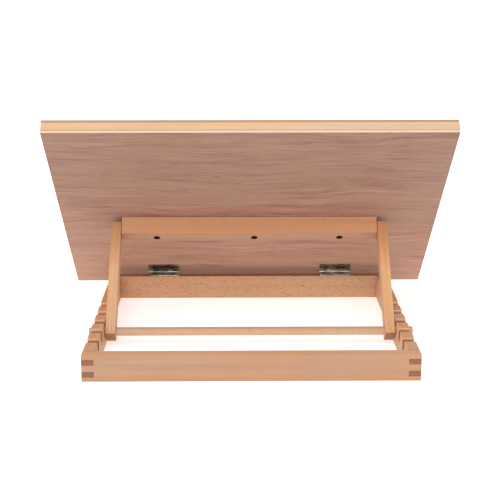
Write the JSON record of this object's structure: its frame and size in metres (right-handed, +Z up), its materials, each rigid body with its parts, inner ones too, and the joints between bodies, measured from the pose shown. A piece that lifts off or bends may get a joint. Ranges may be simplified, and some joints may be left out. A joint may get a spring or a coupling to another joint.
{
  "type": "table easel",
  "caption": "Wooden table easel: a slotted base frame, a drawing board hinged at the front and a swinging prop whose bar drops into the rail slots.",
  "frame": {"origin": "middle of the easel's bounding box, on the table", "axes": "+X across the easel, to the right of someone standing behind it who looks from -Y; -Y is the side the artist sits at; +Y is the rear; +Z up"},
  "size_m": [0.462, 0.3716, 0.269],
  "materials": {
    "beech_rail": "satin oiled beech",
    "beech_prop": "satin oiled beech",
    "beech_bar": "satin oiled beech",
    "beech_crossbar": "satin oiled beech",
    "beech_lipping": "satin oiled beech",
    "veneer_back": "matt reddish veneer",
    "veneer_front": "satin veneer",
    "bronzed_steel": "dark bronzed",
    "screw_steel": "plain"
  },
  "bodies": {
    "base": {"front_rail": "beech_rail", "rear_rail": "beech_rail", "left_side_rail": "beech_rail", "right_side_rail": "beech_rail", "left_hinge_base_leaf": "bronzed_steel", "left_hinge_pin": "bronzed_steel", "left_base_leaf_screw_1": "screw_steel", "left_base_leaf_screw_2": "screw_steel", "right_hinge_base_leaf": "bronzed_steel", "right_hinge_pin": "bronzed_steel", "right_base_leaf_screw_1": "screw_steel", "right_base_leaf_screw_2": "screw_steel"},
    "board": {"back_panel": "veneer_back", "front_panel": "veneer_front", "top_frame_strip": "beech_lipping", "bottom_frame_strip": "beech_lipping", "left_frame_strip": "beech_lipping", "right_frame_strip": "beech_lipping", "inner_batten": "beech_lipping", "paper_ledge": "beech_lipping", "crossbar": "beech_crossbar", "left_hinge_board_leaf": "bronzed_steel", "left_board_leaf_screw_1": "screw_steel", "left_board_leaf_screw_2": "screw_steel", "left_pivot_screw": "screw_steel", "right_hinge_board_leaf": "bronzed_steel", "right_board_leaf_screw_1": "screw_steel", "right_board_leaf_screw_2": "screw_steel", "right_pivot_screw": "screw_steel", "crossbar_screw_1": "screw_steel", "crossbar_screw_2": "screw_steel", "crossbar_screw_3": "screw_steel"},
    "prop": {"left_arm": "beech_prop", "right_arm": "beech_prop", "prop_bar": "beech_bar"}
  },
  "joints": [
    {"name": "board_tilt", "type": "hinge", "parent": "base", "child": "board", "pos_m": [0, -0.14411, 0.03255], "axis": [1, 0, 0], "range_deg": [0, 47.4]},
    {"name": "prop_swing", "type": "hinge", "parent": "board", "child": "prop", "pos_m": [0, -0.03615, 0.1163], "axis": [1, 0, 0], "range_deg": [0, 23.7]}
  ],
  "couplings": [
    {"joint": "prop_swing", "follows": "board_tilt", "ratio": 0.5}
  ]
}
